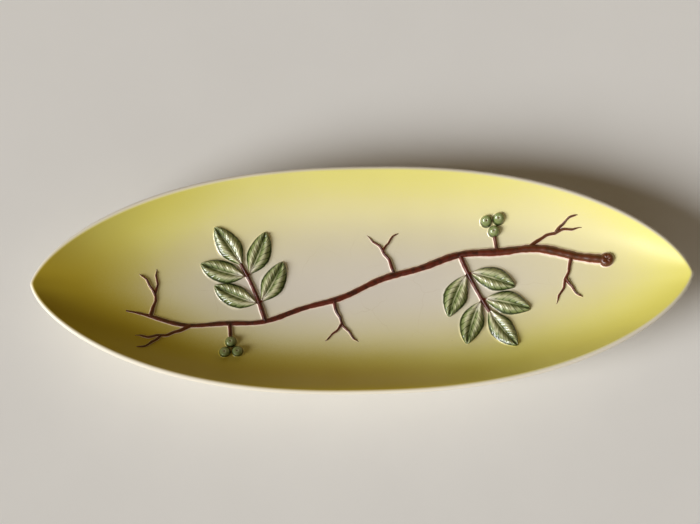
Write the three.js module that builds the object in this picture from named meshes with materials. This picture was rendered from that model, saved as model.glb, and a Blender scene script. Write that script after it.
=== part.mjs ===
// A long leaf-shaped serving plate in glazed earthenware: a thin curved body on a low foot ring,
// with a raised branch of twigs, leaves and berries laid in its well.
// Millimetres, +Z up. The origin lies on the table under the middle, +X runs along the length.
import * as THREE from "three";

// Plate body
const WELL_LENGTH = 374; // tip to tip, at the inside edge of the lip
const WELL_WIDTH = 128; // side to side, at the inside edge of the lip
const WELL_DEPTH = 27; // from the lowest point of the well up to the inside edge of the lip
const FLOOR_THICKNESS = 5;
const LIP_THICKNESS = 3.4;
const OUTLINE_ALONG = 2.36; // the outline is |x/a|^along + |y/b|^across = 1
const OUTLINE_ACROSS = 1.45;
const BOWL_ACROSS = 3.5; // takes the place of OUTLINE_ACROSS for the level lines in the middle
const BOWL_POWER = 2.8; // how late the wall climbs: 2 is a plain dish, more is flatter inside
const KEEL_POWER = 7; // how late the level lines take on the pointed tips of the outline

// Foot ring
const FOOT_LENGTH = 206; // along the middle of the ring
const FOOT_WIDTH = 58;
const FOOT_THICKNESS = 4.5; // where it meets the table
const FOOT_FLARE = 1; // how much wider it grows on each side, up at the body
const FOOT_CLEARANCE = 3; // under the lowest point of the body

// Seats: every piece of relief and the foot ring keep this much off the body
const SEAT_GAP = 0.3;

// How much of the height of a stem, twig or berry is a straight side
const EDGE_SHARE = 1 / 3;

// Main stem: y = sway * sin(quarter turn * x / crest), with a small wobble on it
const STEM_MARGIN = 49; // bare well past either end, along X
const STEM_SWAY = 21;
const STEM_CREST = 87; // where along X the stem swings out furthest
const STEM_WOBBLE = 0.9;
const STEM_WOBBLE_PITCH = 46;
const STEM_ROOT_WIDTH = 5;
const STEM_TIP_WIDTH = 2;
const STEM_HEIGHT = 2.6;
const KNOB_DIAMETER = 8;
const KNOB_HEIGHT = 3.4;

// Side shoots, twigs and stalks
const SHOOT_WIDTH = 2.6;
const TWIG_WIDTH = 2.2;
const TWIG_TIP_WIDTH = 0.9;
const TWIG_HEIGHT = 1.6;
const TWIG_LENGTH = 28;
const FORK_LENGTH = 13;
const STALK_LENGTH = 6;

// Leaves
const LEAF_LENGTH = 27;
const LEAF_WIDTH = 13;
const LEAF_HEIGHT = 3;
const LEAF_EDGE = 0.8; // height of the leaf's edge above the well
const LEAF_POINT = 0.8; // width left at the two pointed ends
const LEAF_SPLAY = 55; // degrees between a side leaf and its shoot
const LEAF_CURL = 16; // degrees that a side leaf's midrib bends back
const LEAF_SPACING = 1.5; // clear of the next leaf, and of the stem
const LEAF_PAIRS = 2;
const MIDRIB_WIDTH = 0.18; // the groove down the middle, in half leaf widths
const MIDRIB_DEPTH = 0.35; // in leaf heights

// Berries
const BERRY_DIAMETER = 6.6;
const BERRY_HEIGHT = 4;
const BERRY_SPACING = 0.6; // between berries of a bunch
const BERRIES_IN_BUNCH = 3;

// What grows from the stem. A place on the stem, or on a twig, is a share of its length from its
// thick end; headings and bends are in degrees, anticlockwise from +X.
const SPRAYS = [
  { name: "right", at: 0.29, heading: 291, bend: 9 },
  { name: "left", at: 0.705, heading: 106, bend: 13 },
];
const TWIGS = [
  { name: "far_right", at: 0.15, heading: 32, bend: -40, fork: { at: 0.42, heading: 50, bend: -38 } },
  { name: "near_right", at: 0.055, heading: 258, bend: -18, fork: { at: 0.4, heading: 298, bend: 22 } },
  { name: "far_middle", at: 0.43, heading: 104, bend: 44, fork: { at: 0.5, heading: 62, bend: -30 } },
  { name: "near_middle", at: 0.56, heading: 282, bend: 38, fork: { at: 0.45, heading: 236, bend: -26 } },
  { name: "near_left", at: 0.86, heading: 206, bend: -34, fork: { at: 0.45, heading: 226, bend: -34 } },
  { name: "far_left", at: 0.945, heading: 72, bend: 26, fork: { at: 0.4, heading: 116, bend: 24 } },
];
const BUNCHES = [
  { name: "right", at: 0.21, heading: 98 },
  { name: "left", at: 0.78, heading: 274 },
];

// Fineness of the facets
const ROUND_SEGMENTS = 72;
const WALL_RINGS = 20;
const RING_CROWDING = 0.65; // 1 spaces the wall rings evenly, less crowds them at the lip
const LIP_STEPS = 6;
const BERRY_SEGMENTS = 12;
const DOME_STEPS = 4;
const STEM_STEPS = 36;
const TWIG_STEPS = 8;
const LEAF_STEPS = 8;
const STRIP_FACETS = 4; // across a stem or twig
const LEAF_FACETS = 6; // across a leaf
const SLOPE_STEP = 0.01; // for reading the slope of the well

const RADIANS = Math.PI / 180;
const HALF_LENGTH = WELL_LENGTH / 2;
const HALF_WIDTH = WELL_WIDTH / 2;
const FLOOR_TOP = FOOT_CLEARANCE + FLOOR_THICKNESS;
const STEM_REACH = HALF_LENGTH - STEM_MARGIN;

const GLAZE = {
  body: new THREE.MeshStandardMaterial({ color: 0xe9dfa0, roughness: 0.2, metalness: 0 }),
  foot: new THREE.MeshStandardMaterial({ color: 0xe6dcc4, roughness: 0.6, metalness: 0 }),
  twig: new THREE.MeshStandardMaterial({ color: 0x5a1f16, roughness: 0.22, metalness: 0 }),
  leaf: new THREE.MeshStandardMaterial({ color: 0x8d9a72, roughness: 0.22, metalness: 0 }),
  berry: new THREE.MeshStandardMaterial({ color: 0x7c8f5c, roughness: 0.22, metalness: 0 }),
};

// Moves every vertex of a geometry in place: move(vertex) sets the vertex's new position.
function warp(geometry, move) {
  const position = geometry.getAttribute("position");
  const vertex = new THREE.Vector3();
  for (let i = 0; i < position.count; i++) {
    move(vertex.fromBufferAttribute(position, i));
    position.setXYZ(i, vertex.x, vertex.y, vertex.z);
  }
  geometry.computeVertexNormals();
  return geometry;
}

// A value raised to a power with its sign kept.
function signedPower(value, power) {
  return Math.sign(value) * Math.abs(value) ** power;
}

// The plan point of the leaf-shaped well that stands for a point (along, across) of a unit disc.
function wellPoint(along, across) {
  const x = HALF_LENGTH * signedPower(along, 2 / OUTLINE_ALONG);
  const y = HALF_WIDTH * signedPower(across, 2 / OUTLINE_ACROSS);
  return new THREE.Vector2(x, y);
}

// The outward unit normal of the leaf outline through a plan point.
function outlineNormal(point) {
  const x = OUTLINE_ALONG * signedPower(point.x / HALF_LENGTH, OUTLINE_ALONG - 1) / HALF_LENGTH;
  const y = OUTLINE_ACROSS * signedPower(point.y / HALF_WIDTH, OUTLINE_ACROSS - 1) / HALF_WIDTH;
  return new THREE.Vector2(x, y).normalize();
}

// How far out a plan point lies: 0 in the middle of the well, 1 at the lip.
function outness(x, y) {
  const along = Math.abs(x / HALF_LENGTH) ** OUTLINE_ALONG;
  const across = Math.abs(y / HALF_WIDTH) ** OUTLINE_ACROSS;
  return Math.sqrt(along + across);
}

// Height of the inside face of the plate above the table. Its level lines are round in the middle
// and take on the leaf shape of the outline towards the lip.
function wellHeight(x, y) {
  const along = Math.abs(x / HALF_LENGTH) ** OUTLINE_ALONG;
  const round = Math.abs(y / HALF_WIDTH) ** BOWL_ACROSS;
  const pointed = Math.abs(y / HALF_WIDTH) ** OUTLINE_ACROSS;
  const across = THREE.MathUtils.lerp(round, pointed, outness(x, y) ** KEEL_POWER);
  return FLOOR_TOP + WELL_DEPTH * (along + across) ** (BOWL_POWER / 2);
}

// Slope of the inside face along X and along Y.
function wellSlope(x, y) {
  const alongX = wellHeight(x + SLOPE_STEP, y) - wellHeight(x - SLOPE_STEP, y);
  const alongY = wellHeight(x, y + SLOPE_STEP) - wellHeight(x, y - SLOPE_STEP);
  return new THREE.Vector2(alongX, alongY).divideScalar(2 * SLOPE_STEP);
}

// The wall thins evenly from the floor to the lip.
function wallThickness(x, y) {
  return THREE.MathUtils.lerp(FLOOR_THICKNESS, LIP_THICKNESS, Math.min(1, outness(x, y)));
}

// Height of the underside of the body above the table.
function undersideHeight(x, y) {
  const steepness = Math.hypot(1, wellSlope(x, y).length());
  return wellHeight(x, y) - wallThickness(x, y) * steepness;
}

// Turns a lathe's axis from Y up to Z up.
function upright(geometry) {
  return geometry.rotateX(Math.PI / 2);
}

// The body is turned as a disc: its radius runs from the middle to the lip, its height from the
// underside at -1 to the inside face at 0. The disc is then bent into the plate, wall by wall.
function plateBody() {
  const ringRadius = (ring) => (ring / WALL_RINGS) ** RING_CROWDING;
  const profile = [];
  for (let ring = 0; ring < WALL_RINGS; ring++) {
    profile.push(new THREE.Vector2(ringRadius(ring), -1));
  }
  for (let step = 0; step <= LIP_STEPS; step++) {
    const turn = Math.PI * (1 - step / LIP_STEPS);
    profile.push(new THREE.Vector2(1 + Math.sin(turn) / 2, (Math.cos(turn) - 1) / 2));
  }
  for (let ring = WALL_RINGS - 1; ring >= 0; ring--) {
    profile.push(new THREE.Vector2(ringRadius(ring), 0));
  }
  const disc = upright(new THREE.LatheGeometry(profile, ROUND_SEGMENTS));
  return warp(disc, (vertex) => {
    const radius = Math.hypot(vertex.x, vertex.y);
    const inside = radius > 1 ? 1 / radius : 1;
    const plan = wellPoint(vertex.x * inside, vertex.y * inside);
    const slope = wellSlope(plan.x, plan.y);
    const normal = new THREE.Vector3(-slope.x, -slope.y, 1).normalize();
    const thickness = wallThickness(plan.x, plan.y);
    const pastLip = Math.max(0, radius - 1);
    const depth = vertex.z;
    vertex.set(plan.x, plan.y, wellHeight(plan.x, plan.y));
    vertex.addScaledVector(normal, depth * thickness);
    if (pastLip > 0) {
      const outward = outlineNormal(plan);
      const climb = new THREE.Vector3(outward.x, outward.y, slope.dot(outward)).normalize();
      vertex.addScaledVector(climb, pastLip * thickness);
    }
  });
}

// A long oval ring under the body, flat on the table and seated above. It is turned as a ring
// whose radius holds the offset from the middle line, and whose height runs from 0 on the table
// to 1 at the seat.
function footRing() {
  const middle = FOOT_LENGTH / 2;
  const foot = FOOT_THICKNESS / 2;
  const seat = foot + FOOT_FLARE;
  const profile = [
    new THREE.Vector2(middle - foot, 0),
    new THREE.Vector2(middle + foot, 0),
    new THREE.Vector2(middle + seat, 1),
    new THREE.Vector2(middle - seat, 1),
    new THREE.Vector2(middle - foot, 0),
  ];
  const ring = upright(new THREE.LatheGeometry(profile, ROUND_SEGMENTS));
  return warp(ring, (vertex) => {
    const radius = Math.hypot(vertex.x, vertex.y);
    const turn = new THREE.Vector2(vertex.x, vertex.y).divideScalar(radius);
    const oval = new THREE.Vector2(middle, FOOT_WIDTH / 2);
    const plan = turn.clone().multiply(oval);
    const outward = turn.clone().divide(oval).normalize();
    plan.addScaledVector(outward, radius - middle);
    const height = undersideHeight(plan.x, plan.y) - SEAT_GAP;
    vertex.set(plan.x, plan.y, vertex.z * height);
  });
}

// Lays a piece that was modelled flat, with its underside at height 0, into the well.
function drape(geometry) {
  return warp(geometry, (vertex) => {
    vertex.z += wellHeight(vertex.x, vertex.y) + SEAT_GAP;
  });
}

// A plan curve is a function of a share from 0 to 1 that gives { x, y, heading }.
// The main stem, from its thick end on the right to its tip on the left.
function stemCurve(share) {
  const x = STEM_REACH * (1 - 2 * share);
  const quarter = Math.PI / 2 / STEM_CREST;
  const ripple = 2 * Math.PI / STEM_WOBBLE_PITCH;
  const y = STEM_SWAY * Math.sin(quarter * x) + STEM_WOBBLE * Math.sin(ripple * x);
  const slope = STEM_SWAY * quarter * Math.cos(quarter * x)
    + STEM_WOBBLE * ripple * Math.cos(ripple * x);
  return { x, y, heading: Math.atan2(-slope, -1) };
}

function stemWidth(share) {
  return THREE.MathUtils.lerp(STEM_ROOT_WIDTH, STEM_TIP_WIDTH, share);
}

// A plan curve that starts at a point with a heading and bends evenly (degrees) over its length.
function arcCurve(start, heading, length, bend) {
  return (share) => {
    const half = bend * RADIANS * share / 2;
    const chord = length * share * (half === 0 ? 1 : Math.sin(half) / half);
    const x = start.x + chord * Math.cos(heading + half);
    const y = start.y + chord * Math.sin(heading + half);
    return { x, y, heading: heading + 2 * half };
  };
}

// The point where a side piece starts so that its square end clears the piece that it grows from.
function rootPoint(carrier, carrierWidth, heading, width) {
  const angle = heading - carrier.heading;
  const away = carrierWidth / 2 + SEAT_GAP + Math.abs(Math.cos(angle)) * width / 2;
  const distance = away / Math.abs(Math.sin(angle));
  const x = carrier.x + distance * Math.cos(heading);
  const y = carrier.y + distance * Math.sin(heading);
  return new THREE.Vector2(x, y);
}

// A strip of clay along a plan curve: widthAt(share) wide, heightAt(share, across) high, where
// across runs from -1 at the left edge to 1 at the right edge.
function strip(curve, widthAt, heightAt, facets, steps) {
  const bar = new THREE.BoxGeometry(2, 1, 1, facets, steps, 1);
  const laid = warp(bar, (vertex) => {
    const share = vertex.y + 0.5;
    const across = vertex.x;
    const { x, y, heading } = curve(share);
    const offset = across * widthAt(share) / 2;
    const height = vertex.z > 0 ? heightAt(share, across) : 0;
    vertex.set(x + offset * Math.sin(heading), y - offset * Math.cos(heading), height);
  });
  return drape(laid);
}

// The half-round section of a stem or twig, with low straight sides.
function halfRound(height, across) {
  return height * (EDGE_SHARE + (1 - EDGE_SHARE) * Math.sqrt(1 - across * across));
}

function mainStem() {
  const heightAt = (share, across) =>
    halfRound(STEM_HEIGHT * stemWidth(share) / STEM_ROOT_WIDTH, across);
  return strip(stemCurve, stemWidth, heightAt, STRIP_FACETS, STEM_STEPS);
}

// A tapering twig along a plan curve.
function twig(curve, rootWidth, tipWidth) {
  const widthAt = (share) => THREE.MathUtils.lerp(rootWidth, tipWidth, share);
  const heightAt = (share, across) => halfRound(TWIG_HEIGHT * widthAt(share) / rootWidth, across);
  return strip(curve, widthAt, heightAt, STRIP_FACETS, TWIG_STEPS);
}

// A pointed oval leaf, highest on both sides of a groove down its middle.
function leaf(curve) {
  const swell = (share) => 4 * share * (1 - share);
  const widthAt = (share) => LEAF_POINT + (LEAF_WIDTH - LEAF_POINT) * swell(share);
  const heightAt = (share, across) => {
    const groove = MIDRIB_DEPTH * Math.exp(-((across / MIDRIB_WIDTH) ** 2));
    const dome = (1 - across * across) * (1 - groove) * Math.sqrt(swell(share));
    return LEAF_EDGE + (LEAF_HEIGHT - LEAF_EDGE) * dome;
  };
  return strip(curve, widthAt, heightAt, LEAF_FACETS, LEAF_STEPS);
}

// A round button with a domed top, for a berry or the cut end of the stem.
function button(centre, diameter, height) {
  const side = height * EDGE_SHARE;
  const profile = [new THREE.Vector2(0, 0), new THREE.Vector2(diameter / 2, 0)];
  for (let step = 0; step <= DOME_STEPS; step++) {
    const turn = (Math.PI / 2) * (step / DOME_STEPS);
    const radius = step < DOME_STEPS ? diameter / 2 * Math.cos(turn) : 0;
    profile.push(new THREE.Vector2(radius, side + (height - side) * Math.sin(turn)));
  }
  const turned = upright(new THREE.LatheGeometry(profile, BERRY_SEGMENTS));
  return drape(turned.translate(centre.x, centre.y, 0));
}

const plate = new THREE.Group();
const relief = new THREE.Group();
plate.add(relief);

function add(group, name, geometry, material) {
  const mesh = new THREE.Mesh(geometry, material.clone());
  mesh.name = name;
  group.add(mesh);
}

// A shoot from the stem with its pairs of side leaves and the leaf at its end.
function addSpray({ name, at, heading, bend }) {
  const start = heading * RADIANS;
  const splay = LEAF_SPLAY * RADIANS;
  const pitch = (LEAF_WIDTH + LEAF_SPACING) / Math.sin(splay);
  const firstPair = STEM_ROOT_WIDTH / 2 + LEAF_WIDTH / 2;
  const lastStretch = LEAF_WIDTH / 2 + LEAF_SPACING;
  const length = firstPair + pitch * (LEAF_PAIRS - 1) + lastStretch;
  const foot = rootPoint(stemCurve(at), stemWidth(at), start, SHOOT_WIDTH);
  const shoot = arcCurve(foot, start, length, bend);
  add(relief, `shoot_${name}`, twig(shoot, SHOOT_WIDTH, TWIG_WIDTH), GLAZE.twig);

  for (let pair = 0; pair < LEAF_PAIRS; pair++) {
    const seat = shoot((firstPair + pitch * pair) / length);
    for (const side of [-1, 1]) {
      const direction = seat.heading + side * splay;
      const base = rootPoint(seat, SHOOT_WIDTH, direction, LEAF_POINT);
      const midrib = arcCurve(base, direction, LEAF_LENGTH, -side * LEAF_CURL);
      const hand = side < 0 ? "a" : "b";
      add(relief, `leaf_${name}_${pair + 1}${hand}`, leaf(midrib), GLAZE.leaf);
    }
  }
  const end = shoot(1 + SEAT_GAP / length);
  add(relief, `leaf_${name}_end`, leaf(arcCurve(end, end.heading, LEAF_LENGTH, bend)), GLAZE.leaf);
}

// A bare twig from the stem, with a fork that leaves it part of the way along.
function addTwig({ name, at, heading, bend, fork }) {
  const start = heading * RADIANS;
  const foot = rootPoint(stemCurve(at), stemWidth(at), start, TWIG_WIDTH);
  const curve = arcCurve(foot, start, TWIG_LENGTH, bend);
  add(relief, `twig_${name}`, twig(curve, TWIG_WIDTH, TWIG_TIP_WIDTH), GLAZE.twig);

  const forkStart = fork.heading * RADIANS;
  const widthThere = THREE.MathUtils.lerp(TWIG_WIDTH, TWIG_TIP_WIDTH, fork.at);
  const forkFoot = rootPoint(curve(fork.at), widthThere, forkStart, widthThere);
  const forkCurve = arcCurve(forkFoot, forkStart, FORK_LENGTH, fork.bend);
  add(relief, `fork_${name}`, twig(forkCurve, widthThere, TWIG_TIP_WIDTH), GLAZE.twig);
}

// A short stalk from the stem with its berries set round the end.
function addBunch({ name, at, heading }) {
  const start = heading * RADIANS;
  const ahead = new THREE.Vector2(Math.cos(start), Math.sin(start));
  const foot = rootPoint(stemCurve(at), stemWidth(at), start, TWIG_WIDTH);
  const stalk = arcCurve(foot, start, STALK_LENGTH, 0);
  add(relief, `stalk_${name}`, twig(stalk, TWIG_WIDTH, TWIG_WIDTH), GLAZE.twig);

  const between = Math.PI / BERRIES_IN_BUNCH;
  const ring = (BERRY_DIAMETER + BERRY_SPACING) / 2 / Math.sin(between);
  const reach = STALK_LENGTH + SEAT_GAP + BERRY_DIAMETER / 2 + ring;
  const middle = foot.clone().addScaledVector(ahead, reach);
  for (let berry = 0; berry < BERRIES_IN_BUNCH; berry++) {
    const angle = start + Math.PI + berry * 2 * between;
    const centre = new THREE.Vector2(Math.cos(angle), Math.sin(angle)).multiplyScalar(ring).add(middle);
    const geometry = button(centre, BERRY_DIAMETER, BERRY_HEIGHT);
    add(relief, `berry_${name}_${berry + 1}`, geometry, GLAZE.berry);
  }
}

// The cut end that closes the thick end of the stem.
function stemKnob() {
  const end = stemCurve(0);
  const back = SEAT_GAP + KNOB_DIAMETER / 2;
  const centre = new THREE.Vector2(
    end.x - back * Math.cos(end.heading),
    end.y - back * Math.sin(end.heading),
  );
  return button(centre, KNOB_DIAMETER, KNOB_HEIGHT);
}

add(plate, "plate_body", plateBody(), GLAZE.body);
add(plate, "foot_ring", footRing(), GLAZE.foot);
add(relief, "main_stem", mainStem(), GLAZE.twig);
add(relief, "stem_knob", stemKnob(), GLAZE.twig);
SPRAYS.forEach(addSpray);
TWIGS.forEach(addTwig);
BUNCHES.forEach(addBunch);

export default plate;
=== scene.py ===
"""Dresses the long plate: a leaf-shaped earthenware dish with a raised, painted branch in its well.

Sizes are in millimetres, as a potter would give them, and every mesh is written in metres. The plate's
frame has +X along its length, +Z up, and its origin on the table under the middle.
"""

import logging
import math
from dataclasses import dataclass
from enum import Enum
from functools import reduce
from typing import Callable

import bpy
import numpy as np
from mathutils import Matrix, Vector


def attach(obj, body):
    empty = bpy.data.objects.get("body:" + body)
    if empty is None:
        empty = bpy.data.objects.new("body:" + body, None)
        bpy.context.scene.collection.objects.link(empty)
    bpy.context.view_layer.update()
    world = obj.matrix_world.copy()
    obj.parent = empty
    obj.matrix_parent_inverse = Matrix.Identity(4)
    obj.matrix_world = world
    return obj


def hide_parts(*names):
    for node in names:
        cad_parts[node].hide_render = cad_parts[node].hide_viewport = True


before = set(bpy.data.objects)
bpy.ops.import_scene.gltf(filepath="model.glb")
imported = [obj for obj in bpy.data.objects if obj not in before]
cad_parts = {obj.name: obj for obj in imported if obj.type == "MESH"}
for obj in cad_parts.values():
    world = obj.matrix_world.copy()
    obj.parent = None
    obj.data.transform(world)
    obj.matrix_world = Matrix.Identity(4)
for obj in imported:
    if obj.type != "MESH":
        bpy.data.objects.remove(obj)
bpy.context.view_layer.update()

LOG = logging.getLogger("long_plate")
MM = 0.001
BODY = "root"
DIP = 0.12  # how far the edge of a raised piece dips under the glaze
SINK = 0.8  # how far the underside of a raised piece lies below the well

Colour = tuple[float, float, float, float]
Socket = bpy.types.NodeSocket
Values = dict[str, np.ndarray]
Span = tuple[float, float]  # where a step starts and where it ends
Place = tuple[float, float, float, float]  # x, y, heading in radians, width
Root = tuple[float, float, float]  # x, y, distance back to the middle line of the carrier


class Slot(Enum):
    """The record's material slots."""

    BODY = "body_glaze"
    FOOT = "foot_glaze"
    TWIG = "twig_glaze"
    LEAF = "leaf_glaze"
    BERRY = "berry_glaze"


def paint(red: int, green: int, blue: int) -> Colour:
    """Turns a screen colour into the linear colour that a shader takes, by the sRGB curve.

    Args:
        red: Red, 0 to 255.
        green: Green, 0 to 255.
        blue: Blue, 0 to 255.

    Returns:
        The linear red, green, blue and an alpha of 1.
    """
    screen = np.array([red, green, blue]) / 255.0
    linear = np.where(screen <= 0.04045, screen / 12.92, ((screen + 0.055) / 1.055) ** 2.4)
    return (float(linear[0]), float(linear[1]), float(linear[2]), 1.0)


def smooth_step(low: float, high: float, value: np.ndarray) -> np.ndarray:
    """Eases from 0 at low to 1 at high: 3t^2 - 2t^3, where t is the clipped share of the way.

    Args:
        low: Where the step starts.
        high: Where it ends.
        value: The values to ease.

    Returns:
        The eased values.
    """
    share = np.clip((value - low) / (high - low), 0.0, 1.0)
    return share * share * (3.0 - 2.0 * share)


def bell(value: np.ndarray, width: float) -> np.ndarray:
    """A bell curve: exp(-(value/width)^2)."""
    return np.exp(-((value / width) ** 2))


@dataclass(frozen=True)
class Skin:
    """A closed skin over a grid of points.

    The columns always wrap round. The rows wrap too on a ring; otherwise each end is closed by a fan of
    triangles to the middle of its row.

    Attributes:
        points: Rows by columns by 3, in millimetres.
        ring: True if the last row joins the first.
    """

    points: np.ndarray
    ring: bool = False

    def quads(self) -> np.ndarray:
        """Joins each grid point to its neighbours in the next column and the next row.

        Returns:
            Corner numbers of the four-sided faces, one row per face.
        """
        rows, columns = self.points.shape[:2]
        number = np.arange(rows * columns).reshape(rows, columns)
        number = np.concatenate([number, number[:, :1]], axis=1)
        if self.ring:
            number = np.concatenate([number, number[:1]], axis=0)
        corners = [number[:-1, :-1], number[:-1, 1:], number[1:, 1:], number[1:, :-1]]
        return np.stack([corner.ravel() for corner in corners], axis=1)

    def fans(self) -> np.ndarray:
        """Joins the first and the last row to their middles.

        Returns:
            Corner numbers of the triangles that close the two ends; none on a ring.
        """
        if self.ring:
            return np.zeros((0, 3), dtype=int)
        rows, columns = self.points.shape[:2]
        here = np.arange(columns)
        ahead = np.roll(here, -1)
        first, last = rows * columns, rows * columns + 1
        top = (rows - 1) * columns
        start = np.stack([np.full(columns, first), ahead, here], axis=1)
        end = np.stack([np.full(columns, last), top + here, top + ahead], axis=1)
        return np.concatenate([start, end])

    def with_ends(self, values: np.ndarray) -> np.ndarray:
        """Flattens a value per grid point and adds the mean of each end row for the fans' middles.

        Args:
            values: Rows by columns, with any further axes.

        Returns:
            One entry per vertex of the mesh.
        """
        flat = values.reshape(-1, *values.shape[2:])
        if self.ring:
            return flat
        ends = np.stack([values[0].mean(axis=0), values[-1].mean(axis=0)])
        return np.concatenate([flat, ends])

    def build(self, name: str, marks: Values) -> bpy.types.Object:
        """Makes the mesh object, with its faces outwards and a float attribute per mark.

        Args:
            name: The object's name.
            marks: Attribute name to a value per grid point.

        Returns:
            The new object, at the origin, in the scene.
        """
        vertices = self.with_ends(self.points) * MM
        quads, fans = self.quads(), self.fans()
        triangles = np.concatenate([quads[:, [0, 1, 2]], quads[:, [0, 2, 3]], fans])
        a, b, c = (vertices[triangles[:, corner]] for corner in range(3))
        if np.einsum("ij,ij->", a, np.cross(b, c)) < 0.0:
            quads, fans = quads[:, ::-1], fans[:, ::-1]
        loops = np.concatenate([quads.ravel(), fans.ravel()]).astype(np.int32)
        sizes = np.concatenate([np.full(len(quads), 4), np.full(len(fans), 3)])
        starts = np.concatenate([[0], np.cumsum(sizes)[:-1]]).astype(np.int32)

        mesh = bpy.data.meshes.new(name)
        mesh.vertices.add(len(vertices))
        mesh.vertices.foreach_set("co", vertices.astype(np.float32).ravel())
        mesh.loops.add(len(loops))
        mesh.loops.foreach_set("vertex_index", loops)
        mesh.polygons.add(len(sizes))
        mesh.polygons.foreach_set("loop_start", starts)
        mesh.update(calc_edges=True)
        mesh.validate()
        mesh.shade_smooth()
        for mark, values in marks.items():
            layer = mesh.attributes.new(mark, "FLOAT", "POINT")
            layer.data.foreach_set("value", self.with_ends(values).astype(np.float32).ravel())
        made = bpy.data.objects.new(name, mesh)
        bpy.context.scene.collection.objects.link(made)
        return made


def settle(piece: bpy.types.Object, node: str, material: bpy.types.Material) -> None:
    """Lets a finished piece stand for its node, ride on the plate and take its finish.

    Args:
        piece: The finished piece.
        node: The node that it stands for.
        material: Its material.
    """
    piece.data.materials.append(material)
    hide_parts(node)
    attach(piece, BODY)
    LOG.info("%s: %d faces", piece.name, len(piece.data.polygons))


@dataclass(frozen=True)
class Well:
    """The inside face of the plate, and the wall under it.

    A plan point's outness is sqrt(|x/a|^along + |y/b|^across): 0 in the middle and 1 at the lip. The
    face's height is the floor's plus depth * (|x/a|^along + c)^(bowl/2), where c goes from
    |y/b|^bowl_across in the middle to |y/b|^across at the lip, by a share of outness^keel. In the
    latter, y gives way to y * tanh(y / fold), which rounds the fold at the two tips.
    """

    length: float = 374.0
    width: float = 128.0
    depth: float = 27.0
    floor_thickness: float = 5.0
    lip_thickness: float = 3.4
    foot_clearance: float = 3.0
    along: float = 2.36
    across: float = 1.45
    bowl_across: float = 3.5
    bowl: float = 2.8
    keel: float = 7.0
    fold: float = 7.0
    slope_step: float = 0.01

    def plan(self, disc_x: np.ndarray, disc_y: np.ndarray) -> tuple[np.ndarray, np.ndarray]:
        """Spreads points of a unit disc over the leaf: a * disc_x^(2/along), b * disc_y^(2/across).

        Args:
            disc_x: Along the length, -1 to 1.
            disc_y: Across the width, -1 to 1.

        Returns:
            The plan's x and y.
        """
        x = self.length / 2 * np.sign(disc_x) * np.abs(disc_x) ** (2 / self.along)
        y = self.width / 2 * np.sign(disc_y) * np.abs(disc_y) ** (2 / self.across)
        return x, y

    def outness(self, x: np.ndarray, y: np.ndarray) -> np.ndarray:
        """How far out a plan point lies, 0 in the middle and 1 at the lip."""
        along = np.abs(2 * x / self.length) ** self.along
        return np.sqrt(along + np.abs(2 * y / self.width) ** self.across)

    def height(self, x: np.ndarray, y: np.ndarray) -> np.ndarray:
        """Height of the inside face above the table, by the formula of the class.

        Args:
            x: Plan x.
            y: Plan y.

        Returns:
            The height at each point.
        """
        middle = np.abs(2 * y / self.width) ** self.bowl_across
        lip = np.abs(2 * y / self.width * np.tanh(y / self.fold)) ** self.across
        rise = np.abs(2 * x / self.length) ** self.along + middle
        rise = rise + (lip - middle) * self.outness(x, y) ** self.keel
        return self.foot_clearance + self.floor_thickness + self.depth * rise ** (self.bowl / 2)

    def outward(self, x: np.ndarray, y: np.ndarray) -> tuple[np.ndarray, np.ndarray]:
        """The gradient of outness squared, which points out across the leaf outline.

        Args:
            x: Plan x.
            y: Plan y.

        Returns:
            Its x and y at each point.
        """
        a, b = self.length / 2, self.width / 2
        gx = self.along * np.sign(x) * np.abs(x / a) ** (self.along - 1) / a
        gy = self.across * np.sign(y) * np.abs(y / b) ** (self.across - 1) / b
        return gx, gy

    def slope(self, x: np.ndarray, y: np.ndarray) -> tuple[np.ndarray, np.ndarray]:
        """Slope of the inside face, from a small step to either side.

        Args:
            x: Plan x.
            y: Plan y.

        Returns:
            The slope along x and along y at each point.
        """
        step = self.slope_step
        along = self.height(x + step, y) - self.height(x - step, y)
        across = self.height(x, y + step) - self.height(x, y - step)
        return along / (2 * step), across / (2 * step)

    def thickness(self, x: np.ndarray, y: np.ndarray) -> np.ndarray:
        """Wall thickness, thinning evenly from the floor to the lip."""
        share = np.minimum(self.outness(x, y), 1.0)
        return self.floor_thickness + (self.lip_thickness - self.floor_thickness) * share

    def underside(self, x: np.ndarray, y: np.ndarray) -> np.ndarray:
        """Height of the underside above the table."""
        sx, sy = self.slope(x, y)
        return self.height(x, y) - self.thickness(x, y) * np.sqrt(1 + sx * sx + sy * sy)


def raise_piece(
    name: str, well: Well, x: np.ndarray, y: np.ndarray, raised: np.ndarray, marks: Values, fold: int
) -> bpy.types.Object:
    """Makes a raised piece as a skin that goes over it and back under the glaze.

    Its face lies at the well's height plus raised, and its underside SINK below the well.

    Args:
        name: The object's name.
        well: The well that it lies in.
        x: Plan x of each grid point.
        y: Plan y of each grid point.
        raised: Height of its face above the well.
        marks: Attribute name to its values over the face; outness and lip are added.
        fold: The grid axis along which the skin turns under, 0 for rows or 1 for columns.

    Returns:
        The new object.
    """
    level = well.height(x, y)
    over = np.stack([x, y, level + raised], axis=2)
    under = np.stack([x, y, level - SINK], axis=2)
    points = np.concatenate([over, np.flip(under, axis=fold)], axis=fold)
    both: Values = {}
    for mark, values in {**marks, "outness": well.outness(x, y), "lip": np.zeros_like(x)}.items():
        grid = np.broadcast_to(values, x.shape)
        both[mark] = np.concatenate([grid, np.flip(grid, axis=fold)], axis=fold)
    return Skin(points).build(name, both)


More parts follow.
